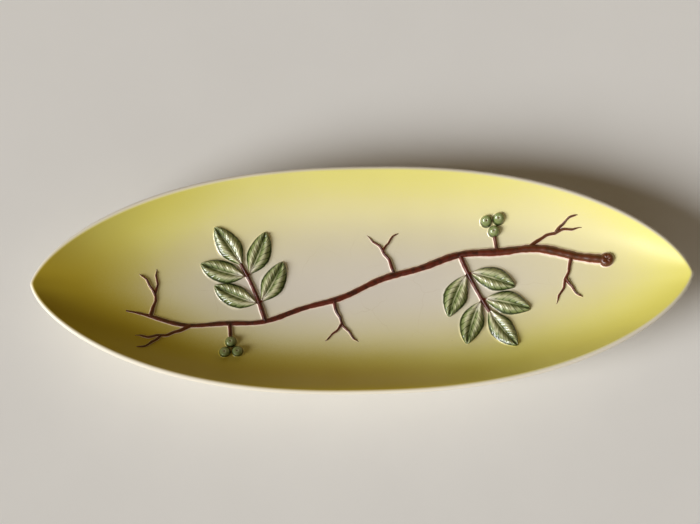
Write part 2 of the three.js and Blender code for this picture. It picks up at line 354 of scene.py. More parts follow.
class Bench:
    """Lays out the nodes of one material around a Principled shader."""

    def __init__(
        self, name: str, roughness: float, coat: float = 0.0, coat_roughness: float = 0.06
    ) -> None:
        """Starts a material.

        Args:
            name: The material's name.
            roughness: Roughness of the surface under the coat.
            coat: Weight of the clear coat.
            coat_roughness: Roughness of the clear coat.
        """
        self.material = bpy.data.materials.new(name)
        self.material.use_nodes = True
        self.tree = self.material.node_tree
        self.shader = self.tree.nodes["Principled BSDF"]
        self.shader.inputs["Roughness"].default_value = roughness
        self.shader.inputs["Coat Weight"].default_value = coat
        self.shader.inputs["Coat Roughness"].default_value = coat_roughness
        self.place = self.node("ShaderNodeTexCoord").outputs["Object"]

    def node(self, kind: str) -> bpy.types.Node:
        """Adds a node of a kind."""
        return self.tree.nodes.new(kind)

    def feed(self, socket: Socket, value: Socket | float | Colour) -> None:
        """Links a socket to another, or sets its own value.

        Args:
            socket: The socket to feed.
            value: What feeds it.
        """
        if isinstance(value, bpy.types.NodeSocket):
            self.tree.links.new(value, socket)
        else:
            socket.default_value = value

    def axis(self, name: str) -> Socket:
        """Reads one of the object coordinates.

        Args:
            name: X, Y or Z.

        Returns:
            The coordinate's socket, in millimetres.
        """
        node = self.node("ShaderNodeSeparateXYZ")
        self.feed(node.inputs[0], self.place)
        return self.times(node.outputs[name], 1.0 / MM)

    def mark(self, name: str) -> Socket:
        """Reads one of the mesh's own attributes.

        Args:
            name: The attribute's name.

        Returns:
            The value's socket.
        """
        node = self.node("ShaderNodeAttribute")
        node.attribute_name = name
        return node.outputs["Fac"]

    def math(self, operation: str, a: Socket | float, b: Socket | float) -> Socket:
        """One step of arithmetic.

        Args:
            operation: Blender's name for it.
            a: The first value.
            b: The second value.

        Returns:
            The answer's socket.
        """
        node = self.node("ShaderNodeMath")
        node.operation = operation
        self.feed(node.inputs[0], a)
        self.feed(node.inputs[1], b)
        return node.outputs[0]

    def times(self, a: Socket | float, b: Socket | float) -> Socket:
        """One value times another."""
        return self.math("MULTIPLY", a, b)

    def total(self, *parts: Socket) -> Socket:
        """The sum of some values."""
        return reduce(lambda a, b: self.math("ADD", a, b), parts)

    def step(self, value: Socket, low: float, high: float) -> Socket:
        """Eases from 0 where value is low to 1 where it is high.

        Args:
            value: The value to ease.
            low: Where the step starts; it may lie above high.
            high: Where it ends.

        Returns:
            The eased value's socket.
        """
        node = self.node("ShaderNodeMapRange")
        node.interpolation_type = "SMOOTHSTEP"
        self.feed(node.inputs["Value"], value)
        node.inputs["From Min"].default_value = low
        node.inputs["From Max"].default_value = high
        return node.outputs["Result"]

    def mix(self, share: Socket | float, a: Socket | Colour, b: Socket | Colour) -> Socket:
        """Blends one colour into another.

        Args:
            share: How much of the second colour shows.
            a: The first colour.
            b: The second colour.

        Returns:
            The blend's socket.
        """
        node = self.node("ShaderNodeMix")
        node.data_type = "RGBA"
        self.feed(node.inputs[0], share)
        self.feed(node.inputs[6], a)
        self.feed(node.inputs[7], b)
        return node.outputs[2]

    def shade(self, share: Socket | float, a: Socket | Colour, b: Socket | Colour) -> Socket:
        """Multiplies one colour by another.

        Args:
            share: How much of the product shows.
            a: The first colour.
            b: The second colour.

        Returns:
            The product's socket.
        """
        result = self.mix(share, a, b)
        result.node.blend_type = "MULTIPLY"
        return result

    def ramp(self, value: Socket, stops: list[tuple[float, Colour]]) -> Socket:
        """A colour ramp that runs smoothly by the stops.

        Args:
            value: Where on the ramp.
            stops: Position and colour of each stop, in order.

        Returns:
            The colour's socket.
        """
        node = self.node("ShaderNodeValToRGB")
        node.color_ramp.interpolation = "B_SPLINE"
        while len(node.color_ramp.elements) < len(stops):
            node.color_ramp.elements.new(1.0)
        for element, (position, colour) in zip(node.color_ramp.elements, stops):
            element.position = position
            element.color = colour
        self.feed(node.inputs["Fac"], value)
        return node.outputs["Color"]

    def noise(self, size: float, detail: float = 2.0, twist: float = 0.0) -> Socket:
        """Soft noise whose patches are about a size across.

        Args:
            size: Patch size in millimetres.
            detail: How many finer layers it has.
            twist: How far it is bent by itself.

        Returns:
            A value about 0.5.
        """
        node = self.node("ShaderNodeTexNoise")
        self.feed(node.inputs["Vector"], self.place)
        node.inputs["Scale"].default_value = 1.0 / (size * MM)
        node.inputs["Detail"].default_value = detail
        node.inputs["Distortion"].default_value = twist
        return node.outputs["Fac"]

    def wander(self, size: float, reach: float, detail: float = 2.0) -> Socket:
        """Soft noise about 0, by (noise - 0.5) * reach."""
        return self.times(self.math("SUBTRACT", self.noise(size, detail), 0.5), reach)

    def bent(self, size: float, reach: float) -> Socket:
        """Object coordinates, pushed about by soft noise.

        Args:
            size: The noise's patch size in millimetres.
            reach: How far it pushes, in millimetres.

        Returns:
            The coordinates' socket.
        """
        push = self.node("ShaderNodeVectorMath")
        push.operation = "MULTIPLY_ADD"
        self.feed(push.inputs[0], self.noise(size).node.outputs["Color"])
        push.inputs[1].default_value = (reach * MM, reach * MM, reach * MM)
        self.feed(push.inputs[2], self.place)
        return push.outputs[0]

    def cells(self, size: float, feature: str, bend: float = 0.0) -> Socket:
        """A cell pattern.

        Args:
            size: Cell size in millimetres.
            feature: F1 for distance to a cell's point, DISTANCE_TO_EDGE for distance to its edge.
            bend: How far its lines wander, in millimetres.

        Returns:
            The distance's socket, in cell sizes.
        """
        node = self.node("ShaderNodeTexVoronoi")
        node.feature = feature
        self.feed(node.inputs["Vector"], self.bent(size / 2, bend) if bend else self.place)
        node.inputs["Scale"].default_value = 1.0 / (size * MM)
        return node.outputs["Distance"]

    def relief(self, layers: list[tuple[Socket, float]]) -> None:
        """Raises the surface by bump layers.

        Args:
            layers: The height's socket and its depth in millimetres, for each layer.
        """
        normal: Socket | None = None
        for height, depth in layers:
            node = self.node("ShaderNodeBump")
            node.inputs["Distance"].default_value = depth * MM
            self.feed(node.inputs["Height"], height)
            if normal is not None:
                self.feed(node.inputs["Normal"], normal)
            normal = node.outputs["Normal"]
        if normal is not None:
            self.feed(self.shader.inputs["Normal"], normal)
            self.feed(self.shader.inputs["Coat Normal"], normal)

    def finish(self, colour: Socket) -> bpy.types.Material:
        """Feeds the colour to the shader and returns the material."""
        self.feed(self.shader.inputs["Base Color"], colour)
        return self.material


@dataclass(frozen=True)
class YellowGlaze:
    """Clear gloss glaze over ivory clay, sprayed yellow towards the lip and thin on the lip itself.

    The amount of spray runs from about 0 in the middle of the well to 1 at the lip, and the colour
    stops are amounts of spray.
    """

    ivory: Colour = paint(235, 228, 215)
    cream: Colour = paint(236, 228, 192)
    straw: Colour = paint(236, 227, 158)
    yellow: Colour = paint(238, 231, 142)
    deep: Colour = paint(238, 229, 112)
    # painted shade: a darker, browner tint multiplied into the glaze on the near wall and the left end
    thick: Colour = (0.73, 0.6, 0.2, 1.0)
    lip: Colour = paint(242, 235, 218)
    speck: Colour = paint(120, 92, 60)
    craze: Colour = paint(206, 190, 160)
    ivory_until: float = 0.3
    cream_at: float = 0.56
    straw_at: float = 0.76
    yellow_at: float = 0.86
    drift_size: float = 70.0
    spray_drift: float = 0.10
    grain_size: float = 0.9
    spray_grain: float = 0.07
    # painted shade: more spray, a deeper and darker yellow, towards the near side and on the left end
    near_shade_spray: float = 0.0018
    left_shade_spray: float = 0.13
    left: Span = (-50.0, -150.0)
    # painted sheen: less spray, a paler yellow, on the far side of the right end
    far_right_sheen_spray: float = -0.1
    right: Span = (40.0, 130.0)
    far: Span = (-15.0, 25.0)
    # where the painted shade lies: towards the near side and the left end, by these weights of y and x,
    # easing in over the spans
    shade_lean_across: float = 0.9
    shade_lean_along: float = 0.33
    shade_lean: Span = (-8.0, -58.0)
    painted_shade_spray: Span = (0.56, 1.0)
    craze_size: float = 24.0
    craze_bend: float = 9.0
    craze_line: Span = (0.011, 0.0)
    craze_patch: float = 31.0
    craze_breaks: Span = (0.46, 0.62)
    craze_fades: Span = (0.75, 0.35)
    craze_share: float = 0.18
    speck_spacing: float = 17.0
    speck_dot: Span = (0.02, 0.008)
    speck_patch: float = 23.0
    speck_rare: Span = (0.60, 0.64)
    speck_share: float = 0.7
    wave_size: float = 38.0
    wave_depth: float = 0.5
    peel_size: float = 5.0
    peel_depth: float = 0.012
    roughness: float = 0.4
    coat: float = 0.3
    coat_roughness: float = 0.3
    mirror: float = 0.3

    def spray(self, bench: Bench) -> Socket:
        """The amount of spray: outness, more on the near side and the left end as painted shade, and less
        at the far right as a painted sheen.

        Its edge drifts with soft noise and breaks up into fine grain.

        Args:
            bench: The material being laid out.

        Returns:
            The amount's socket.
        """
        x, y = bench.axis("X"), bench.axis("Y")
        corner = bench.times(bench.step(x, *self.right), bench.step(y, *self.far))
        # the near and left terms paint shade, and the corner term paints a sheen
        return bench.total(
            bench.mark("outness"),
            bench.times(y, -self.near_shade_spray),
            bench.times(bench.step(x, *self.left), self.left_shade_spray),
            bench.times(corner, self.far_right_sheen_spray),
            bench.wander(self.drift_size, self.spray_drift),
            bench.wander(self.grain_size, self.spray_grain),
        )

    def thickness(self, bench: Bench, spray: Socket) -> Socket:
        """How much painted shade darkens the glaze: 0 on the far side, easing to 1 at the near lip and its
        left end, the parts that the window lamp leaves in shade.

        Args:
            bench: The material being laid out.
            spray: The amount of spray.

        Returns:
            The painted shade's socket, 0 to 1.
        """
        across = bench.times(bench.axis("Y"), self.shade_lean_across)
        along = bench.times(bench.axis("X"), self.shade_lean_along)
        shade_lean = bench.step(bench.total(across, along), *self.shade_lean)
        return bench.times(shade_lean, bench.step(spray, *self.painted_shade_spray))

    def craze_lines(self, bench: Bench) -> Socket:
        """Faint wandering cracks in the glaze of the floor, broken off here and there.

        Args:
            bench: The material being laid out.

        Returns:
            Their strength's socket.
        """
        edge = bench.cells(self.craze_size, "DISTANCE_TO_EDGE", self.craze_bend)
        broken = bench.step(bench.noise(self.craze_patch, detail=1.0), *self.craze_breaks)
        floor = bench.times(bench.step(bench.mark("outness"), *self.craze_fades), self.craze_share)
        return bench.times(bench.times(bench.step(edge, *self.craze_line), broken), floor)

    def specks(self, bench: Bench) -> Socket:
        """A few small dark specks, in patches.

        Args:
            bench: The material being laid out.

        Returns:
            Their strength's socket.
        """
        dot = bench.step(bench.cells(self.speck_spacing, "F1"), *self.speck_dot)
        rare = bench.step(bench.noise(self.speck_patch, detail=0.0), *self.speck_rare)
        return bench.times(bench.times(dot, rare), self.speck_share)

    def colour(self, bench: Bench) -> Socket:
        """The glaze's colour from the mesh's outness and lip marks.

        Args:
            bench: The material being laid out.

        Returns:
            The colour's socket.
        """
        stops = [
            (0.0, self.ivory),
            (self.ivory_until, self.ivory),
            (self.cream_at, self.cream),
            (self.straw_at, self.straw),
            (self.yellow_at, self.yellow),
            (1.0, self.deep),
        ]
        spray = self.spray(bench)
        colour = bench.ramp(spray, stops)
        # painted shade: the near wall and the left end darkened by the tint
        colour = bench.shade(self.thickness(bench, spray), colour, self.thick)
        colour = bench.mix(bench.mark("lip"), colour, self.lip)
        colour = bench.shade(self.craze_lines(bench), colour, self.craze)
        return bench.mix(self.specks(bench), colour, self.speck)

    def material(self) -> bpy.types.Material:
        """The finish of the plate's body, with slow waves in the glaze and a fine orange peel.

        Returns:
            The material.
        """
        bench = Bench("yellow_glaze", self.roughness, self.coat, self.coat_roughness)
        bench.shader.inputs["Specular IOR Level"].default_value = self.mirror
        waves = bench.noise(self.wave_size, detail=1.0)
        peel = bench.noise(self.peel_size, detail=1.0)
        bench.relief([(waves, self.wave_depth), (peel, self.peel_depth)])
        return bench.finish(self.colour(bench))


@dataclass(frozen=True)
class FootFinish:
    """Ivory glaze, wiped off to buff clay where the foot meets the table."""

    clay: Colour = paint(206, 184, 150)
    soot: Colour = paint(150, 126, 96)
    roughness: float = 0.45
    stain_size: float = 9.0
    stain: Span = (0.45, 0.75)
    stain_share: float = 0.5
    ragged_size: float = 4.0
    ragged: float = 0.5
    wiped: Span = (0.45, 0.6)
    grit_size: float = 0.8
    grit_depth: float = 0.03

    def material(self, glaze: YellowGlaze) -> bpy.types.Material:
        """The finish of the foot ring.

        Args:
            glaze: The plate's glaze, for the ring's sides.

        Returns:
            The material.
        """
        bench = Bench("foot_glaze", self.roughness)
        stain = bench.step(bench.noise(self.stain_size, detail=5.0), *self.stain)
        clay = bench.mix(bench.times(stain, self.stain_share), self.clay, self.soot)
        bare = bench.total(bench.mark("bare"), bench.wander(self.ragged_size, self.ragged))
        bench.relief([(bench.noise(self.grit_size, detail=3.0), self.grit_depth)])
        return bench.finish(bench.mix(bench.step(bare, *self.wiped), glaze.colour(bench), clay))


@dataclass(frozen=True)
class TwigPaint:
    """Oxblood brown brushed over the raised twigs, thin and pinkish at its edges."""

    oxblood: Colour = paint(95, 31, 15)
    dark: Colour = paint(58, 16, 5)
    ochre: Colour = paint(96, 54, 10)
    thin: Colour = paint(156, 74, 50)
    halo: Colour = paint(240, 224, 212)
    roughness: float = 0.38
    coat: float = 0.25
    coat_roughness: float = 0.22
    edge_size: float = 2.5
    edge_wander: float = 0.22
    streak_size: float = 3.5
    streak_twist: float = 0.6
    streaks: Span = (0.42, 0.68)
    ochre_out: Span = (0.45, 0.85)
    ochre_share: float = 0.6
    thinning: Span = (0.62, 0.36)
    halo_edge: Span = (0.06, 0.22)
    brown_edge: Span = (0.28, 0.42)
    bark_size: float = 1.4
    bark_depth: float = 0.05

    def material(self, glaze: YellowGlaze) -> bpy.types.Material:
        """The finish of the stem, shoots, twigs and stalks.

        The mesh's cover mark is 1 on the ridge and falls to 0 where the piece runs out into the well.
        Brown lies where cover is high, its edge broken by noise, and a pale halo lies just outside it.

        Args:
            glaze: The plate's glaze, for the clay that runs out into the well.

        Returns:
            The material.
        """
        bench = Bench("twig_paint", self.roughness, self.coat, self.coat_roughness)
        cover = bench.total(bench.mark("cover"), bench.wander(self.edge_size, self.edge_wander))
        patch = bench.noise(self.streak_size, detail=4.0, twist=self.streak_twist)
        brown = bench.mix(bench.step(patch, *self.streaks), self.oxblood, self.dark)
        outer = bench.step(bench.mark("outness"), *self.ochre_out)
        brown = bench.mix(bench.times(outer, self.ochre_share), brown, self.ochre)
        brown = bench.mix(bench.step(cover, *self.thinning), brown, self.thin)
        halo = bench.mix(bench.step(cover, *self.halo_edge), glaze.colour(bench), self.halo)
        bench.relief([(bench.noise(self.bark_size, detail=3.0), self.bark_depth)])
        return bench.finish(bench.mix(bench.step(cover, *self.brown_edge), halo, brown))


@dataclass(frozen=True)
class LeafPaint:
    """Grey-green glaze that pools dark in hollows and edges and thins to cream on ridges."""

    green: Colour = paint(129, 143, 88)
    pooled: Colour = paint(54, 66, 28)
    cream: Colour = paint(219, 218, 178)
    base: Colour = paint(236, 230, 212)
    bark: Colour = paint(106, 39, 22)
    roughness: float = 0.18
    coat: float = 0.5
    cloud_size: float = 3.2
    pool_cloud: float = 0.55
    thin_cloud: float = -0.7
    thinning: Span = (0.25, 0.95)
    pale_base: Span = (0.2, 1.0)
    pooling: Span = (0.22, 0.85)
    edge_size: float = 2.2
    edge_wander: float = 0.3
    green_edge: Span = (0.2, 0.42)
    ripple_size: float = 1.6
    ripple_depth: float = 0.04

    def material(self, name: str, glaze: YellowGlaze) -> bpy.types.Material:
        """The finish of leaves and berries.

        The mesh's pool mark is 1 where glaze gathers, thin is 1 where it runs off, stalk is 1 at the
        leaf's pale base, bark is 1 on its stalk, and cover falls to 0 where the piece runs out into
        the well.

        Args:
            name: The material's name.
            glaze: The plate's glaze, for the clay that runs out into the well.

        Returns:
            The material.
        """
        bench = Bench(name, self.roughness, self.coat)
        cloud = bench.wander(self.cloud_size, 1.0, detail=4.0)
        pool = bench.total(bench.mark("pool"), bench.times(cloud, self.pool_cloud))
        thin = bench.total(bench.mark("thin"), bench.times(cloud, self.thin_cloud))
        colour = bench.mix(bench.step(thin, *self.thinning), self.green, self.cream)
        colour = bench.mix(bench.step(bench.mark("stalk"), *self.pale_base), colour, self.base)
        colour = bench.mix(bench.step(pool, *self.pooling), colour, self.pooled)
        colour = bench.mix(bench.mark("bark"), colour, self.bark)
        cover = bench.total(bench.mark("cover"), bench.wander(self.edge_size, self.edge_wander))
        bench.relief([(bench.noise(self.ripple_size), self.ripple_depth)])
        return bench.finish(bench.mix(bench.step(cover, *self.green_edge), glaze.colour(bench), colour))


@dataclass(frozen=True)
class PlateBody:
    """The thin curved dish with its rounded lip.

    The glaze's marks are set here: outness fades to under_spray of itself on the underside, and the
    lip turns pale over lip_full past the inside edge, fading again over lip_band down the outside.
    """

    well: Well
    turns: int = 384
    wall_rings: int = 84
    lip_rings: int = 20
    wall_span: float = 0.998
    crowding: float = 1.6
    lip_fullness: float = 0.95
    lip_full: float = 2.2
    lip_band: float = 12.0
    under_spray: float = 0.35

    def build(self, material: bpy.types.Material) -> None:
        """Makes the body as one skin from the middle of the underside, over the lip, to the middle inside.

        Along a row, a ring of the unit disc is spread over the leaf shape. From row to row the wall is
        crossed: the underside lies one thickness below the inside face along its normal, and the lip is
        a half round between the two, as wide as the wall.

        Args:
            material: The glaze.
        """
        well = self.well
        wall = 1.0 - np.linspace(self.wall_span, 0.0, self.wall_rings) ** self.crowding
        bend = np.linspace(0.0, math.pi, self.lip_rings + 2)[1:-1]
        flat, full = np.zeros(self.wall_rings), np.ones(self.wall_rings)
        radius = np.concatenate([wall, np.ones(self.lip_rings), wall[::-1]])[:, None]
        depth = np.concatenate([full, (1 + np.cos(bend)) / 2, flat])[:, None]
        past = np.concatenate([flat, self.lip_fullness * np.sin(bend) / 2, flat])[:, None]
        turn = np.linspace(0.0, 2 * math.pi, self.turns, endpoint=False)[None, :]
        x, y = well.plan(radius * np.cos(turn), radius * np.sin(turn))
        sx, sy = well.slope(x, y)
        steep = np.sqrt(1 + sx * sx + sy * sy)
        normal = np.stack([-sx, -sy, np.ones_like(sx)], axis=2) / steep[..., None]
        gx, gy = well.outward(x, y)
        reach = np.hypot(gx, gy)
        climb = np.stack([gx / reach, gy / reach, (sx * gx + sy * gy) / reach], axis=2)
        climb /= np.linalg.norm(climb, axis=2, keepdims=True)
        thick = well.thickness(x, y)[..., None]
        face = np.stack([x, y, well.height(x, y)], axis=2)
        points = face - depth[..., None] * thick * normal + past[..., None] * thick * climb

        outside = depth > 0.5
        sprayed = self.under_spray + (1 - self.under_spray) * (1.0 - depth)
        spread = radius * sprayed * np.ones_like(x)
        short = (1 - radius**2) / reach
        round_lip = np.concatenate([math.pi * full, math.pi - bend, flat])[:, None]
        past_edge = round_lip * well.lip_thickness / 2 + np.where(outside, short, -short)
        fade = bell(np.where(outside, short, 0.0), self.lip_band)
        lip = smooth_step(0.0, self.lip_full, past_edge) * fade
        made = Skin(points).build("plate_glazed_body", {"outness": spread, "lip": lip})
        settle(made, "plate_body", material)


@dataclass(frozen=True)
class FootRing:
    """The long oval ring that the plate stands on."""

    well: Well
    length: float = 206.0
    width: float = 58.0
    thickness: float = 4.5
    flare: float = 1.0
    corner: float = 0.9
    fillet: float = 0.9
    sink: float = 0.6
    bare_height: float = 1.1
    turns: int = 288
    side_steps: int = 26
    side_crowding: float = 1.5
    floor_steps: int = 7

    def build(self, material: bpy.types.Material) -> None:
        """Makes the ring: a section of two flared sides and a flat floor, carried round an oval.

        The half section grows with height h: thickness/2 + flare * (h/top)^2 +
        fillet * exp(-(top-h)/fillet), and its corners at the table are rounded off.

        Args:
            material: The foot's finish.
        """
        rise = np.linspace(0.0, 1.0, self.side_steps) ** self.side_crowding
        ones = np.ones(self.side_steps)
        floor = np.linspace(-1.0, 1.0, self.floor_steps + 2)[1:-1]
        share = np.concatenate([rise[::-1], np.zeros(self.floor_steps), rise])[:, None]
        side = np.concatenate([-ones, floor, ones])[:, None]
        turn = np.linspace(0.0, 2 * math.pi, self.turns, endpoint=False)[None, :]
        ax, ay = np.cos(turn) / self.length, np.sin(turn) / self.width
        reach = np.hypot(ax, ay)
        mid_x, mid_y = self.length / 2 * np.cos(turn), self.width / 2 * np.sin(turn)
        top = self.well.underside(mid_x, mid_y)
        height = share * (top + self.sink)
        fillet = self.fillet * np.exp(-np.maximum(top - height, 0.0) / self.fillet)
        flare = self.flare * share**2 + fillet
        round_off = self.corner * np.maximum(0.0, 1 - height / self.corner) ** 2
        offset = side * (self.thickness / 2 + flare - round_off)
        x, y = mid_x + offset * ax / reach, mid_y + offset * ay / reach
        zero = np.zeros_like(x)
        marks = {"outness": zero, "lip": zero, "bare": bell(height, self.bare_height)}
        made = Skin(np.stack([x, y, height], axis=2), ring=True).build("foot_oval_ring", marks)
        settle(made, "foot_ring", material)


@dataclass(frozen=True)
class Track:
    """A plan curve sampled along its length, in millimetres.

    Attributes:
        x: Plan x of each sample.
        y: Plan y of each sample.
        heading: Direction of travel at each sample, in radians.
        share: How far along the piece each sample lies, 0 to 1.
    """

    x: np.ndarray
    y: np.ndarray
    heading: np.ndarray
    share: np.ndarray

    def beside(self, offset: np.ndarray) -> tuple[np.ndarray, np.ndarray]:
        """Plan points to the right of each sample.

        Args:
            offset: A row of distances for each sample.

        Returns:
            X and y, samples by offsets.
        """
        x = self.x[:, None] + offset * np.sin(self.heading)[:, None]
        y = self.y[:, None] - offset * np.cos(self.heading)[:, None]
        return x, y


@dataclass(frozen=True)
class Arc:
    """A plan curve that leaves a point with a heading and bends evenly, with small kinks if asked.

    A sample at a share t lies at the end of a chord of length * t * sin(h)/h along heading + h, where
    h is half the turn up to there. Kinks push it sideways by kink * min(3t, 1) times a triangle wave
    of the distance along it, with its corners slightly rounded.

    Attributes:
        start: X and y of its start.
        heading: Direction at the start, in degrees.
        length: Its length.
        bend: How far it turns over its length, in degrees.
        kink: How far the kinks push it, in millimetres.
    """

    start: tuple[float, float]
    heading: float
    length: float
    bend: float
    kink: float = 0.0
    kink_pitch: float = 0.62
    kink_corner: float = 0.97
    kink_ease: float = 3.0

    def track(self, share: np.ndarray) -> Track:
        """Samples the curve.

        Args:
            share: The samples, 0 to 1; a little outside carries the curve on.

        Returns:
            The sampled curve.
        """
        first = math.radians(self.heading)
        half = math.radians(self.bend) * share / 2
        chord = self.length * share * np.sinc(half / math.pi)
        x = self.start[0] + chord * np.cos(first + half)
        y = self.start[1] + chord * np.sin(first + half)
        phase = self.length * share * self.kink_pitch + self.heading
        wave = np.arcsin(self.kink_corner * np.sin(phase)) / (math.pi / 2)
        aside = self.kink * np.clip(self.kink_ease * share, 0.0, 1.0) * wave
        turn = first + 2 * half
        return Track(x + aside * np.sin(turn), y - aside * np.cos(turn), turn, share)


@dataclass(frozen=True)
class Stem:
    """The main stem: y = sway * sin(quarter turn * x / crest), with a small wobble on it."""

    well: Well
    margin: float = 49.0
    sway: float = 21.0
    crest: float = 87.0
    wobble: float = 0.9
    wobble_pitch: float = 46.0
    root_width: float = 5.0
    tip_width: float = 2.0
    height: float = 2.6

    def track(self, share: np.ndarray) -> Track:
        """The stem's plan curve from its thick end on the right to its tip on the left.

        Args:
            share: The samples, 0 to 1.

        Returns:
            The sampled curve.
        """
        x = (self.well.length / 2 - self.margin) * (1 - 2 * share)
        quarter = math.pi / 2 / self.crest
        ripple = 2 * math.pi / self.wobble_pitch
        y = self.sway * np.sin(quarter * x) + self.wobble * np.sin(ripple * x)
        slope = self.sway * quarter * np.cos(quarter * x) + self.wobble * ripple * np.cos(ripple * x)
        return Track(x, y, np.arctan2(-slope, -np.ones_like(x)), share)

    def width(self, share: np.ndarray) -> np.ndarray:
        """The stem's width along it."""
        return self.root_width + (self.tip_width - self.root_width) * share


@dataclass(frozen=True)
class Ridge:
    """A raised twig that runs out into the well on both sides.

    Across it, at a distance of t half widths from its middle, its height is height * exp(-|t|^3).

    Attributes:
        well: The well that it lies in.
        reach: How far it runs out, in half widths.
        runs_out: Where its edge starts to dip, in half widths.
        knot_share: How much its knots add to its width and height.
        knots: Size, pitch and phase of each sine that makes up the knots.
        seed: Weights of the start's x and y in the knots' phase.
        facets: Points across its face.
    """

    well: Well
    reach: float = 1.75
    runs_out: float = 1.3
    knot_share: float = 0.12
    knots: tuple[tuple[float, float, float], ...] = ((0.5, 0.19, 1.0), (0.3, 0.53, 2.1), (0.2, 1.21, 3.7))
    seed: Span = (0.37, 0.53)
    facets: int = 22

    def build(self, name: str, track: Track, width: np.ndarray, height: np.ndarray) -> bpy.types.Object:
        """Makes the ridge along a track.

        Width and height swell and shrink a little along it, as slow sums of sines, like the knots of a
        twig.

        Args:
            name: The object's name.
            track: The plan curve.
            width: Width at each sample.
            height: Height at each sample.

        Returns:
            The new object.
        """
        run = np.concatenate([[0.0], np.cumsum(np.hypot(np.diff(track.x), np.diff(track.y)))])
        seed = track.x[0] * self.seed[0] + track.y[0] * self.seed[1]
        knots = sum(size * np.sin(run * pitch + phase * seed) for size, pitch, phase in self.knots)
        grown = (1 + self.knot_share * knots)[:, None]
        t = np.linspace(-self.reach, self.reach, self.facets)[None, :]
        x, y = track.beside(t * width[:, None] / 2 * grown)
        profile = np.exp(-np.abs(t) ** 3)
        dip = DIP * smooth_step(self.runs_out, self.reach, np.abs(t))
        raised = height[:, None] * grown * profile - dip
        return raise_piece(name, self.well, x, y, raised, {"cover": profile}, fold=1)


@dataclass(frozen=True)
class Leaf:
    """A pointed oval leaf with a midrib, side veins and two swelling halves.

    Places across it are in half widths from the midrib, and places along it are shares of its length.
    """

    well: Well
    length: float = 27.0
    width: float = 13.0
    point: float = 0.8
    edge: float = 1.25
    edge_power: int = 14
    base_ease: float = 0.05
    tip_ease: Span = (1.02, 0.93)
    end_dip: float = 0.3
    swell: float = 1.5
    lobe_at: float = 0.48
    lobe_width: float = 0.33
    pillow: float = 0.16
    rib: float = 0.5
    rib_width: float = 0.065
    rib_fade: float = 0.75
    channel_width: float = 0.17
    channel_depth: float = 0.25
    veins: float = 7.0
    vein_sweep: float = 0.24
    vein_stagger: float = 0.25
    vein_width: float = 0.1
    vein_depth: float = 0.34
    vein_root: Span = (0.02, 0.2)
    vein_end: Span = (1.05, 0.8)
    vein_first: Span = (0.02, 0.15)
    ripple: float = 0.035
    ripple_pitch: float = 9.4
    tilt: float = 0.3
    tilt_phase: float = 1.7
    wave: float = 0.35
    wave_pitch: float = 12.6
    wave_phase: float = 2.3
    brim_at: float = 0.98
    brim_width: float = 0.13
    brim_pool: float = 0.85
    vein_pool: float = 0.62
    channel_pool: float = 0.6
    tip_pool: float = 0.35
    tip_cover: float = 0.5
    pale_along: Span = (0.42, 0.0)
    pale_across: Span = (1.0, 0.2)
    bark_along: Span = (0.06, -0.02)
    seed: Span = (0.71, 0.29)
    reach: float = 1.5
    runs_out: float = 1.15
    steps: int = 110
    facets: int = 72

    def build(self, name: str, track: Track) -> bpy.types.Object:
        """Makes the leaf over a midrib track.

        At t half widths from the midrib the edge falls away as 1 / (1 + |t|^edge_power). Each half
        swells as a bell about lobe_at, the midrib stands up as a narrow bell in a shallow channel, and
        a vein lies wherever (s - sweep * |t|) * veins is whole, s being the share along the leaf.

        Args:
            name: The object's name.
            track: The midrib's plan curve.

        Returns:
            The new object.
        """
        seed = track.x[0] * self.seed[0] + track.y[0] * self.seed[1]
        s = track.share[:, None]
        t = np.linspace(-self.reach, self.reach, self.facets)[None, :]
        inner = np.clip(s, 0.0, 1.0)
        fullness = 4 * inner * (1 - inner)
        half = (self.point + (self.width - self.point) * fullness) / 2
        half = half * (1 + self.ripple * np.sin(self.ripple_pitch * s + seed) * fullness)
        x, y = track.beside(t * half)

        away, plump = np.abs(t), np.sqrt(fullness)
        edge_fall = 1 / (1 + away**self.edge_power)
        ends = smooth_step(s[0, 0], s[0, 0] + self.base_ease, s) * smooth_step(*self.tip_ease, s)
        lobe = bell(away - self.lobe_at, self.lobe_width)
        count = (s - self.vein_sweep * away) * self.veins + self.vein_stagger * np.sign(t)
        vein = bell(count - np.round(count), self.vein_width) * smooth_step(*self.vein_root, away)
        vein = vein * smooth_step(*self.vein_end, away) * smooth_step(*self.vein_first, s)
        channel = bell(t, self.channel_width)
        rib = bell(t, self.rib_width) * (1 - self.rib_fade * inner)

        body = self.edge + self.swell * plump * lobe * (1 + self.pillow * np.cos(2 * math.pi * count))
        body = body + self.tilt * np.sin(seed * self.tilt_phase) * t * plump
        flutter = np.sin(self.wave_pitch * s + self.wave_phase * seed + np.sign(t))
        body = body + self.wave * flutter * away**2 * plump
        body = body - self.vein_depth * vein - self.channel_depth * channel + self.rib * rib
        raised = body * edge_fall * ends - DIP * smooth_step(self.runs_out, self.reach, away)
        raised = raised - self.end_dip * (1 - ends)

        brim = bell(away - self.brim_at, self.brim_width)
        pool = self.vein_pool * vein + self.brim_pool * brim
        pool = pool + self.channel_pool * channel * (1 - rib) + self.tip_pool * inner**3
        marks = {
            "cover": edge_fall * ends,
            "pool": np.clip(pool, 0.0, 1.0),
            "thin": np.clip(lobe * (1 - self.tip_cover * inner) + rib, 0.0, 1.0),
            "stalk": smooth_step(*self.pale_along, s) * smooth_step(*self.pale_across, away),
            "bark": smooth_step(*self.bark_along, s),
        }
        return raise_piece(name, self.well, x, y, raised, marks, fold=1)


